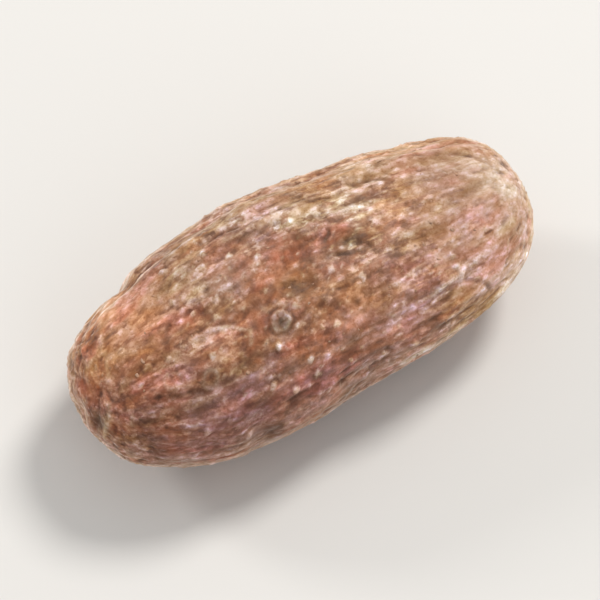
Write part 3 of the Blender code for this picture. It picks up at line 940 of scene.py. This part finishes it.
def shell_material(settings):
    """The dry shell: reddish brown under a pale film, with rust, ochre and violet zones, and with
    painted shade in its hollows and painted light and shade on its relief.
    """
    material, nodes, surface = new_material("dried_shell")
    times, plus, between = nodes.times, nodes.plus, nodes.between
    value_of, mixed = nodes.value_of, nodes.mixed
    place = nodes.add("ShaderNodeTexCoord").outputs["Object"]
    grain = value_of("grain", "Vector")
    gritty, flow, cell_place = [
        nodes.vector("MULTIPLY", grain, (1.0, 1.0, GRAIN_STRETCH / stretch))
        for stretch in (GRIT_STRETCH, FLOW_STRETCH, CELL_STRETCH)
    ]
    threads = nodes.noise(grain, 0.20, 3.0)
    mottle = nodes.noise(gritty, 0.55, 5.0)
    grit = nodes.noise(gritty, 0.26, 4.0)
    fine_grit = nodes.noise(place, 0.12, 3.0)
    smudges = nodes.noise(flow, 0.60, 2.0)
    drift = nodes.channels(nodes.noise(flow, 1.25, 1.5, "Color", 0.5))
    wobble = nodes.noise(place, 0.25, 2.0, "Color", 0.5)
    cell_place = nodes.vector("MULTIPLY_ADD", wobble, (CELL_SHAKE,) * 3, cell_place)
    cells = nodes.add("ShaderNodeTexVoronoi", feature="SMOOTH_F1", Vector=cell_place)
    nodes.fill(cells, Scale=1 / CELL_SIZE, Smoothness=0.35)
    cell_tone, cell_light, cell_hue = nodes.channels(cells.outputs["Color"])
    cell_top = between(cells.outputs["Distance"], 0.05, 0.60, 1.0, 0.0)
    dull = between(mottle, 0.35, 0.65)
    relief = value_of("relief")

    rust = plus(value_of("rust"), between(cell_tone, 0.0, 1.0, -0.07, 0.07))
    rust = nodes.math("SUBTRACT", rust, times(relief, 0.12), clamp=True)
    shell = mixed(dull, settings.testa, settings.testa_deep)
    shell = mixed(value_of("violet"), shell, settings.violet)
    shell = mixed(times(rust, 0.85), shell, settings.rust)
    shell = mixed(times(value_of("ochre"), 0.8), shell, settings.ochre)
    pale = mixed(dull, settings.film, settings.film_warm)
    pale = mixed(times(rust, 0.5), pale, settings.rust)
    pale = mixed(times(value_of("ochre"), 0.65), pale, settings.ochre)
    pale = mixed(times(value_of("violet"), 0.40), pale, settings.violet)
    lines = times(between(threads, 0.3, 0.7, -0.35, 0.35), plus(value_of("thread"), 0.15))
    film = plus(plus(value_of("film"), lines), between(grit, 0.3, 0.7, -0.16, 0.16))
    film = plus(film, between(cell_light, 0.0, 1.0, -0.20, 0.20))
    film = between(film, 0.10, 0.90, 0.0, settings.film_cover)
    colour = mixed(film, shell, pale)
    # What steers each tint, its two limits, the tint's strength at each of them, and the tint
    tints = (
        (cell_hue, 0.50, 1.0, 0.0, 0.08, OCHRE_TINT),
        (cell_hue, 0.0, 0.50, 0.10, 0.0, ROSE_TINT),
        (drift[0], 0.50, 0.66, 0.0, 0.75, OCHRE_TINT),
        (drift[0], 0.34, 0.50, 1.00, 0.0, ROSE_TINT),
        (drift[1], 0.52, 0.66, 0.0, 0.65, MOSS_TINT),
        (drift[1], 0.34, 0.48, 0.90, 0.0, EMBER_TINT),
    )
    for *limits, tint in tints:
        colour = mixed(between(*limits), colour, tint, "MULTIPLY")
    colour = mixed(value_of("veil"), colour, settings.veil)
    colour = mixed(times(value_of("cream"), 0.85), colour, settings.cream)
    # Pale grains of crust, partly painted glints on the tops of the granules and specks.
    grains = times(value_of("grains"), between(grit, 0.2, 0.6, 0.5, 1.0))
    colour = mixed(grains, colour, settings.grains)
    # Painted shade: hollows, pits, folds and creases turn towards a near-black colour.
    dark = times(value_of("hollow"), between(grit, 0.2, 0.6, 0.55, 1.0))
    colour = mixed(times(dark, 0.9, clamp=True), colour, settings.hollow)
    # What steers each change of tone, its two limits, and the brightness at each of them
    tones = (
        (fine_grit, 0.3, 0.7, 0.92, 1.08),
        (fine_grit, 0.30, 0.46, 0.76, 1.04),
        (smudges, 0.30, 0.48, 0.74, 1.06),
        (grit, 0.3, 0.7, 0.84, 1.16),
        # Painted light and shade: the tops of the crust's cells are lighter and the gaps between them
        # darker.
        (cell_top, 0.0, 1.0, 0.76, 1.08),
        (cell_light, 0.0, 1.0, 0.80, 1.12),
        (mottle, 0.3, 0.7, 1.10, 0.90),
        # Painted light and shade: the relief's crests are made lighter and its valleys darker.
        (relief, -1.0, 1.0, 0.78, 1.13),
        (drift[2], 0.34, 0.54, 0.64, 1.13),
    )
    tone = 1.0
    for limits in tones:
        tone = times(tone, between(*limits))
    tone = nodes.math("POWER", tone, between(value_of("calm"), 0.0, 1.0, 1.0, 0.55))
    powers = [nodes.math("POWER", tone, power) for power in TONE_POWERS]
    colour = nodes.vector("MULTIPLY", colour, nodes.solved("ShaderNodeCombineXYZ", powers))
    colour = nodes.vector("MULTIPLY", colour, value_of("tint", "Vector"))

    height = plus(times(threads, value_of("thread")), cell_top)
    height = plus(height, times(fine_grit, 0.6))
    nodes.fill(
        surface,
        Base_Color=colour,
        Roughness=between(film, 0.0, 0.8, 0.56, 0.86),
        Specular_IOR_Level=0.35,
        Sheen_Weight=0.70,
        Sheen_Roughness=0.40,
        Sheen_Tint=(0.95, 0.80, 0.70),
        Normal=nodes.bumped(height, 0.8, 0.035),
    )
    return material


def pulp_material(name, settings):
    """Dried pulp: pale, dull and dusty, a little browner in places."""
    material, nodes, surface = new_material(name)
    place = nodes.add("ShaderNodeTexCoord").outputs["Object"]
    mottle = nodes.between(nodes.noise(place, 0.35, 4.0), 0.35, 0.65)
    nodes.fill(
        surface,
        Base_Color=nodes.mixed(mottle, settings.pale, settings.dark),
        Roughness=0.85,
        Specular_IOR_Level=0.3,
        Normal=nodes.bumped(nodes.noise(place, 0.06, 2.0), 0.5, 0.01),
    )
    return material


def cell_prop(way, default):
    text = f"Cells of the fine surface {way} the bean"
    return IntProperty(name=f"Cells {way}", description=text, default=default, min=8)


def colour_prop(name, description, *default):
    return FloatVectorProperty(
        name=name, description=description, subtype="COLOR", size=3, default=default
    )


def amount_prop(name, description, default, unit="NONE", **more):
    return FloatProperty(
        name=name, description=description, default=default, min=0.0, unit=unit, precision=6, **more
    )


class BeanShellSettings(bpy.types.PropertyGroup):
    cells_along: cell_prop("along", 194)
    cells_across: cell_prop("across", 118)
    cells_through: cell_prop("up through", 84)
    relief_strength: amount_prop("Relief strength", "How deep the fine wrinkles are", 1.25)
    film_cover: amount_prop(
        "Film cover", "How much the dried film hides the shell", 0.80, subtype="FACTOR", max=1.0
    )
    testa: colour_prop("Shell", "Colour of the bare shell", 0.385, 0.164, 0.097)
    testa_deep: colour_prop("Deep shell", "Colour of the shell's darker mottling", 0.195, 0.082, 0.056)
    film: colour_prop("Film", "Colour of the dried film", 0.745, 0.524, 0.406)
    film_warm: colour_prop("Warm film", "Colour of the film where it is thin", 0.625, 0.361, 0.255)
    rust: colour_prop("Rust", "Colour of the rust-red spots", 0.440, 0.145, 0.065)
    ochre: colour_prop("Ochre", "Colour of the ochre zones", 0.620, 0.310, 0.120)
    violet: colour_prop("Violet", "Colour of the violet-grey zones", 0.320, 0.155, 0.150)
    veil: colour_prop("Veil", "Colour of the thin even film", 0.620, 0.390, 0.320)
    # Cream is partly pale pulp and partly a painted rim highlight along the outline.
    cream: colour_prop("Cream", "Colour of the pale edges and arcs", 0.850, 0.680, 0.530)
    # The colour of the pale grains, which are partly painted glints.
    grains: colour_prop("Grains", "Colour of the pale grains of crust", 0.660, 0.455, 0.335)
    # The colour of the painted shade in pits, folds and creases.
    hollow: colour_prop("Hollows", "Colour of pits and folds", 0.080, 0.038, 0.026)


class DriedPulpSettings(bpy.types.PropertyGroup):
    crumbs: amount_prop("Crumbs", "Crumbs on a square millimetre where they are thickest", 0.62)
    crumb_size: amount_prop("Crumb size", "Usual radius of a crumb", 0.105 * MM, "LENGTH")
    fibres: amount_prop("Fibres", "Fibres on a square millimetre where they are thickest", 0.14)
    fibre_length: amount_prop("Fibre length", "Usual length of a fibre", 1.0 * MM, "LENGTH")
    fibre_radius: amount_prop("Fibre radius", "Radius of a fibre at its middle", 0.020 * MM, "LENGTH")
    seed: IntProperty(name="Seed", description="Seed of the scattered pulp", default=5)
    pale: colour_prop("Pale pulp", "Colour of the dried pulp", 0.450, 0.290, 0.205)
    dark: colour_prop("Brown pulp", "Colour of the browner pulp", 0.430, 0.235, 0.145)


class BeanStudioSettings(bpy.types.PropertyGroup):
    azimuth: FloatProperty(
        name="Azimuth", description="Where the camera stands, turned from looking along +Y",
        default=math.radians(-31), unit="ROTATION",
    )
    elevation: FloatProperty(
        name="Elevation", description="How high the camera looks from",
        default=math.radians(60), unit="ROTATION",
    )
    lens: amount_prop("Lens", "Focal length in millimetres", 300.0, "CAMERA")
    view_width: amount_prop("View width", "Width of the picture at the bean", 31.5 * MM, "LENGTH")
    floor: colour_prop("Floor", "Colour of the floor", 0.73, 0.72, 0.70)
    key: amount_prop("Key light", "Power of the light from above and behind", 1.32, "POWER")
    rim: amount_prop("Rim light", "Power of the light behind the germ end", 0.70, "POWER")
    fill: amount_prop("Fill light", "Power of the light from the front", 0.47, "POWER")
    sky: amount_prop("Sky", "Strength of the even light from all round", 0.48)


class COCOA_OT_shell(bpy.types.Operator):
    """Makes the bean's wrinkled shell as one closed mesh with its colour masks"""

    bl_idname = "cocoa.shell"
    bl_label = "Make the Shell"

    def execute(self, context):
        settings = context.scene.bean_shell
        surface = ShellSurface(settings)
        mesh = mesh_of("bean_shell", surface.points, surface.quads)
        for name, values in (surface.masks | surface.pulp_shares()).items():
            add_values(mesh, name, values)
        mesh.materials.append(shell_material(settings))
        shell = linked("bean_shell", mesh)
        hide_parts("bean")
        finished(shell)
        return {"FINISHED"}


def pulp_tree(name, **kinds):
    """A new tree of geometry nodes on the shell, with named number inputs and one output."""
    tree = bpy.data.node_groups.new(name, "GeometryNodeTree")
    for label, kind in {"Geometry": "Geometry", **kinds}.items():
        tree.interface.new_socket(label, in_out="INPUT", socket_type="NodeSocket" + kind)
    tree.interface.new_socket("Geometry", in_out="OUTPUT", socket_type="NodeSocketGeometry")
    nodes = Nodes(tree)
    return nodes, nodes.add("NodeGroupInput").outputs


def drawn(nodes, low, high, seed):
    """A random number, or a random vector where its limits are vectors, for each point."""
    of_vectors = isinstance(low, tuple)
    kind = "FLOAT_VECTOR" if of_vectors else "FLOAT"
    node = nodes.add("FunctionNodeRandomValue", data_type=kind, Seed=seed)
    first = 0 if of_vectors else 2
    nodes.put(node.inputs[first], low)
    nodes.put(node.inputs[first + 1], high)
    return node.outputs[0 if of_vectors else 1]


def spread_points(nodes, source, share_name):
    """Points on the shell, as many as the tree's density input times the named share asks for,
    and a turn that stands each of them up on the shell."""
    share = nodes.add("GeometryNodeInputNamedAttribute", data_type="FLOAT", Name=share_name)
    spread = nodes.add(
        "GeometryNodeDistributePointsOnFaces",
        Mesh=source["Geometry"],
        Density=nodes.times(source["Density"], share),
        Seed=source["Seed"],
    )
    upright = nodes.add(
        "FunctionNodeAlignRotationToVector", axis="Z", Vector=spread.outputs["Normal"]
    )
    return spread, upright


def placed(nodes, spread, shape, rotation, turn, scale):
    """A copy of a shape on each point, turned a little further, all made real."""
    turned = nodes.add(
        "FunctionNodeRotateRotation", rotation_space="LOCAL", Rotation=rotation, Rotate_By=turn
    )
    copies = nodes.add(
        "GeometryNodeInstanceOnPoints", Points=spread, Instance=shape, Rotation=turned, Scale=scale
    )
    return nodes.add("GeometryNodeRealizeInstances", Geometry=copies)


def shaken(nodes, geometry, size, detail, reach):
    """The geometry with its points moved about by a noise, whose size is in millimetres."""
    place = nodes.add("GeometryNodeInputPosition")
    waves = nodes.noise(place, size, detail, "Color", 0.5)
    middled = nodes.vector("SUBTRACT", waves, (0.5, 0.5, 0.5))
    push = nodes.add("ShaderNodeVectorMath", operation="SCALE", Vector=middled, Scale=reach)
    return nodes.add("GeometryNodeSetPosition", Geometry=geometry, Offset=push)


def finish_tree(nodes, geometry, material):
    """Realizes what the tree made, gives it its material and puts it out."""
    smooth = nodes.add("GeometryNodeSetShadeSmooth", Geometry=geometry)
    realize = nodes.add("GeometryNodeRealizeInstances", Geometry=smooth)
    paint = nodes.add("GeometryNodeSetMaterial", Geometry=realize, Material=material)
    nodes.add("NodeGroupOutput", Geometry=paint)
    return nodes.tree


def crumb_tree(material):
    """Crumbs: small uneven lumps, half sunk in the shell, each turned and sized on its own."""
    nodes, source = pulp_tree("pulp_crumbs", Density="Float", Size="Float", Seed="Int")
    spread, upright = spread_points(nodes, source, "crumb_share")
    lump = nodes.add("GeometryNodeMeshUVSphere", Radius=1.0, Segments=8, Rings=5)
    turn = drawn(nodes, (-0.3, -0.3, -3.1), (0.3, 0.3, 3.1), 2)
    size = nodes.math("POWER", drawn(nodes, 0.0, 1.0, 3), 2.2)
    size = nodes.times(nodes.math("MULTIPLY_ADD", size, 0.70, 0.50), source["Size"])
    shape = drawn(nodes, (0.8, 0.6, 0.20), (1.7, 1.1, 0.38), 4)
    scale = nodes.add("ShaderNodeVectorMath", operation="SCALE", Vector=shape, Scale=size)
    lumps = placed(nodes, spread, lump, upright, turn, scale)
    knobbly = shaken(nodes, lumps, 0.06, 1.0, nodes.times(source["Size"], 1.4))
    return finish_tree(nodes, knobbly, material)


def fibre_tree(material):
    """Fibres: thin threads of dried pulp that lie on the shell, mostly along its grain."""
    nodes, source = pulp_tree(
        "pulp_fibres", Density="Float", Length="Float", Radius="Float", Seed="Int"
    )
    spread, upright = spread_points(nodes, source, "fibre_share")
    way = nodes.add("GeometryNodeInputNamedAttribute", data_type="FLOAT_VECTOR", Name="grain_way")
    along = nodes.add(
        "FunctionNodeAlignRotationToVector", axis="X", pivot_axis="Z", Rotation=upright, Vector=way
    )
    turn = drawn(nodes, (0.0, 0.0, -0.25), (0.0, 0.0, 0.25), 12)
    line = nodes.add("GeometryNodeCurvePrimitiveLine", Start=(-0.5, 0.0, 0.0), End=(0.5, 0.0, 0.0))
    steps = nodes.add("GeometryNodeResampleCurve", Curve=line, Count=12)
    length = nodes.times(drawn(nodes, 0.35, 1.5, 13), source["Length"])
    fibres = placed(nodes, spread, steps, along, turn, length)
    bent = shaken(nodes, fibres, 0.9, 2.0, nodes.times(source["Length"], 0.35))
    on_shell = nodes.add("GeometryNodeProximity", target_element="FACES")
    nodes.put(on_shell.inputs[0], source["Geometry"])
    laid = nodes.add("GeometryNodeSetPosition", Geometry=bent, Position=on_shell)
    middle = nodes.math("PINGPONG", nodes.add("GeometryNodeSplineParameter"), 0.5)
    thick = nodes.math("MULTIPLY_ADD", nodes.math("POWER", middle, 0.6), 1.2, 0.18)
    thick = nodes.times(thick, source["Radius"])
    sized = nodes.add("GeometryNodeSetCurveRadius", Curve=laid, Radius=thick)
    ring = nodes.add("GeometryNodeCurvePrimitiveCircle", Resolution=5, Radius=1.0)
    tube = nodes.add("GeometryNodeCurveToMesh", Curve=sized, Profile_Curve=ring, Fill_Caps=True)
    nodes.fill(tube, Scale=nodes.add("GeometryNodeInputRadius"))
    return finish_tree(nodes, tube, material)


def grown_piece(name, tree, values):
    """Runs a tree on a copy of the shell and keeps the result as a plain mesh."""
    carrier = linked(name + "_carrier", bpy.data.objects["bean_shell"].data.copy())
    modifier = carrier.modifiers.new(name, "NODES")
    modifier.node_group = tree
    for item in tree.interface.items_tree:
        if item.in_out == "INPUT" and item.name in values:
            modifier[item.identifier] = values[item.name]
    bpy.context.view_layer.update()
    evaluated = carrier.evaluated_get(bpy.context.evaluated_depsgraph_get())
    mesh = bpy.data.meshes.new_from_object(evaluated)
    mesh.name = name
    carrier.modifiers.remove(modifier)
    spare = carrier.data
    bpy.data.objects.remove(carrier)
    bpy.data.meshes.remove(spare)
    if not mesh.vertices:
        raise RuntimeError(f"{name} came out empty")
    finished(linked(name, mesh))


class COCOA_OT_crumbs(bpy.types.Operator):
    """Scatters crumbs of dried pulp over the shell"""

    bl_idname = "cocoa.crumbs"
    bl_label = "Scatter the Crumbs"

    def execute(self, context):
        pulp = context.scene.dried_pulp
        tree = crumb_tree(pulp_material("dried_pulp", pulp))
        values = {"Density": pulp.crumbs / MM**2, "Size": pulp.crumb_size, "Seed": pulp.seed}
        grown_piece("pulp_crumbs", tree, values)
        return {"FINISHED"}


class COCOA_OT_fibres(bpy.types.Operator):
    """Lays fibres of dried pulp along the shell's grain"""

    bl_idname = "cocoa.fibres"
    bl_label = "Lay the Fibres"

    def execute(self, context):
        pulp = context.scene.dried_pulp
        tree = fibre_tree(pulp_material("dried_fibre", pulp))
        values = {"Density": pulp.fibres / MM**2, "Seed": pulp.seed + 1}
        values |= {"Length": pulp.fibre_length, "Radius": pulp.fibre_radius}
        grown_piece("pulp_fibres", tree, values)
        return {"FINISHED"}


# Lights: name, place and size in metres, and colour
LIGHTS = (
    ("key", (0.26, 0.09, 0.35), 0.14, (1.0, 0.97, 0.93)),
    ("rim", (-0.22, 0.34, 0.20), 0.12, (1.0, 0.98, 0.95)),
    ("fill", (0.02, -0.46, 0.30), 0.40, (0.94, 0.97, 1.0)),
)
FLOOR_REACH = 1.5


class COCOA_OT_studio(bpy.types.Operator):
    """Makes the pale floor, the soft lights and the camera"""

    bl_idname = "cocoa.studio"
    bl_label = "Set Up the Studio"

    def execute(self, context):
        scene = context.scene
        settings = scene.bean_studio
        target = Vector((0.0, 0.0, 0.45 * BEAN_HIGH.z))
        self.make_floor(settings)
        self.make_camera(scene, settings, target)
        for name, place, size, colour in LIGHTS:
            light = bpy.data.lights.new(name, "AREA")
            light.shape = "DISK"
            light.size = size
            light.energy = getattr(settings, name)
            light.color = colour
            lamp = linked(name, light)
            lamp.location = place
            lamp.rotation_euler = (Vector(place) - target).to_track_quat("Z", "Y").to_euler()
        world = bpy.data.worlds.new("studio")
        world.use_nodes = True
        sky = world.node_tree.nodes["Background"]
        Nodes(world.node_tree).fill(sky, Color=(1.0, 0.99, 0.98), Strength=settings.sky)
        scene.world = world
        scene.view_settings.view_transform = "Standard"
        return {"FINISHED"}

    def make_floor(self, settings):
        corners = FLOOR_REACH * np.array([(-1, -1, 0), (1, -1, 0), (1, 1, 0), (-1, 1, 0)])
        mesh = mesh_of("floor", corners, np.array([(0, 1, 2, 3)]))
        material, nodes, surface = new_material("floor")
        nodes.fill(surface, Base_Color=settings.floor, Roughness=0.9, Specular_IOR_Level=0.2)
        mesh.materials.append(material)
        linked("floor", mesh)

    def make_camera(self, scene, settings, target):
        camera_data = bpy.data.cameras.new("camera")
        camera_data.lens = settings.lens
        camera_data.clip_start = 0.01
        camera_data.clip_end = 20.0
        level, turn = math.cos(settings.elevation), settings.azimuth
        back = Vector(
            (math.sin(turn) * level, -math.cos(turn) * level, math.sin(settings.elevation))
        )
        camera = linked("camera", camera_data)
        camera.location = target + back * (
            settings.view_width * settings.lens / camera_data.sensor_width
        )
        camera.rotation_euler = back.to_track_quat("Z", "Y").to_euler()
        scene.camera = camera


class COCOA_PT_panel(bpy.types.Panel):
    """Lists the bean's sizes and colours and the steps that make it"""

    bl_idname = "COCOA_PT_panel"
    bl_label = "Cocoa Bean"
    bl_space_type = "VIEW_3D"
    bl_region_type = "UI"
    bl_category = "Cocoa Bean"

    def draw(self, context):
        for group_name, operators in STEPS:
            box = self.layout.box()
            group = getattr(context.scene, group_name)
            for setting in group.bl_rna.properties:
                if setting.identifier not in ("rna_type", "name"):
                    box.prop(group, setting.identifier)
            for operator in operators:
                box.operator(operator)


GROUPS = {
    "bean_shell": BeanShellSettings,
    "dried_pulp": DriedPulpSettings,
    "bean_studio": BeanStudioSettings,
}
STEPS = (
    ("bean_shell", ("cocoa.shell",)),
    ("dried_pulp", ("cocoa.crumbs", "cocoa.fibres")),
    ("bean_studio", ("cocoa.studio",)),
)
CLASSES = (
    *GROUPS.values(),
    COCOA_OT_shell,
    COCOA_OT_crumbs,
    COCOA_OT_fibres,
    COCOA_OT_studio,
    COCOA_PT_panel,
)


def register():
    for each in CLASSES:
        bpy.utils.register_class(each)
    for name, group in GROUPS.items():
        setattr(bpy.types.Scene, name, PointerProperty(type=group))


def unregister():
    for name in GROUPS:
        delattr(bpy.types.Scene, name)
    for each in reversed(CLASSES):
        bpy.utils.unregister_class(each)


def main():
    register()
    bpy.ops.cocoa.shell()
    bpy.ops.cocoa.crumbs()
    bpy.ops.cocoa.fibres()
    bpy.ops.cocoa.studio()


if __name__ == "__main__":
    main()
